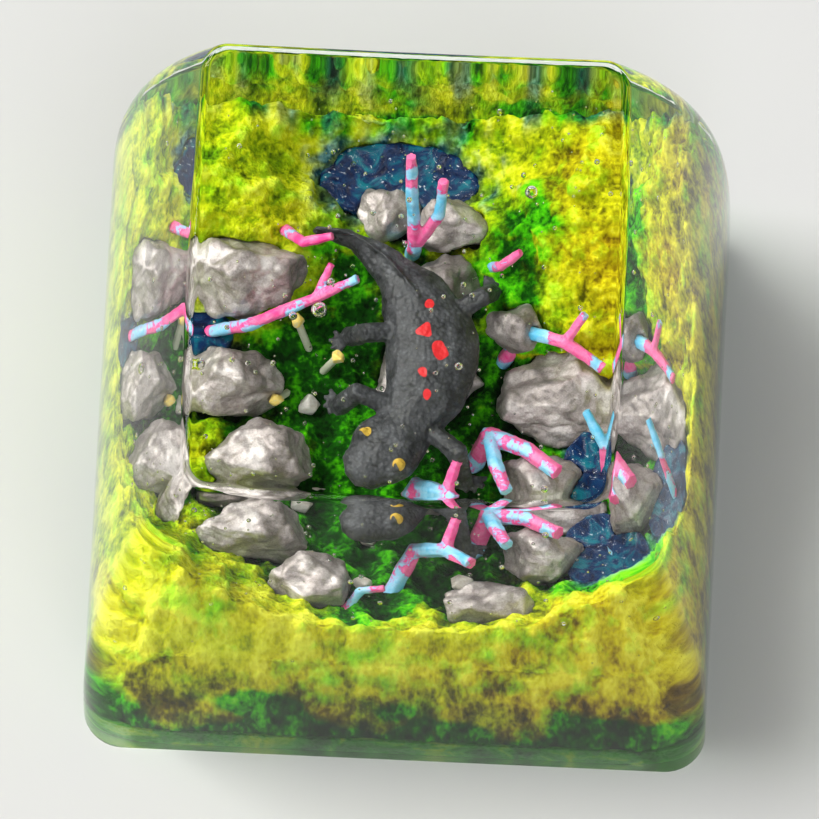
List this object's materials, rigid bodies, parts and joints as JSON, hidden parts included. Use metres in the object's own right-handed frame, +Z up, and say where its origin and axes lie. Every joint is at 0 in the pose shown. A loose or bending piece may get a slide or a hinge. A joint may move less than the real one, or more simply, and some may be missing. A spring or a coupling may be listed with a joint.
{
  "type": "artisan keycap",
  "caption": "Tall sculpted clear resin keycap with a mossy rock garden, pink and blue twigs and a small newt cast inside, and a cross socket underneath for a key switch.",
  "frame": {"origin": "centre of the square foot, at the level it stands on", "axes": "+Z up through the top of the cap, -Y towards the typist, the low edge of the tilted top"},
  "size_m": [0.0182, 0.0182, 0.0159],
  "materials": {
    "clear_resin": "clear polished casting resin with small air bubbles",
    "moss": "fuzzy flocked moss, yellow to deep green",
    "backing_resin": "opaque dark green casting resin",
    "stone": "silver grey worn gravel with a wet sheen",
    "pale_stone": "small pale pebbles",
    "painted_twig": "mottled pink and light blue paint",
    "grey_clay": "dark grey modelling clay with red spots along the back",
    "sprout": "pale stalks with yellow buds",
    "pool_resin": "dark blue resin with teal and white flecks"
  },
  "bodies": {
    "root": {"clear_resin_block": "clear_resin", "moss_terrain": "moss", "stem_base": "backing_resin", "stone_1": "stone", "stone_2": "stone", "stone_3": "stone", "stone_4": "stone", "stone_5": "stone", "stone_6": "stone", "stone_7": "stone", "stone_8": "stone", "stone_9": "stone", "stone_10": "stone", "stone_11": "stone", "stone_12": "stone", "pebble_1": "pale_stone", "pebble_2": "pale_stone", "pebble_3": "pale_stone", "pebble_4": "pale_stone", "twig_1": "painted_twig", "twig_2": "painted_twig", "twig_3": "painted_twig", "twig_4": "painted_twig", "twig_5": "painted_twig", "twig_6": "painted_twig", "twig_7": "painted_twig", "twig_8": "painted_twig", "twig_9": "painted_twig", "newt": "grey_clay", "sprout_1": "sprout", "sprout_2": "sprout", "sprout_3": "sprout", "pool_back": "pool_resin", "pool_left": "pool_resin", "pool_right": "pool_resin"}
  },
  "joints": []
}
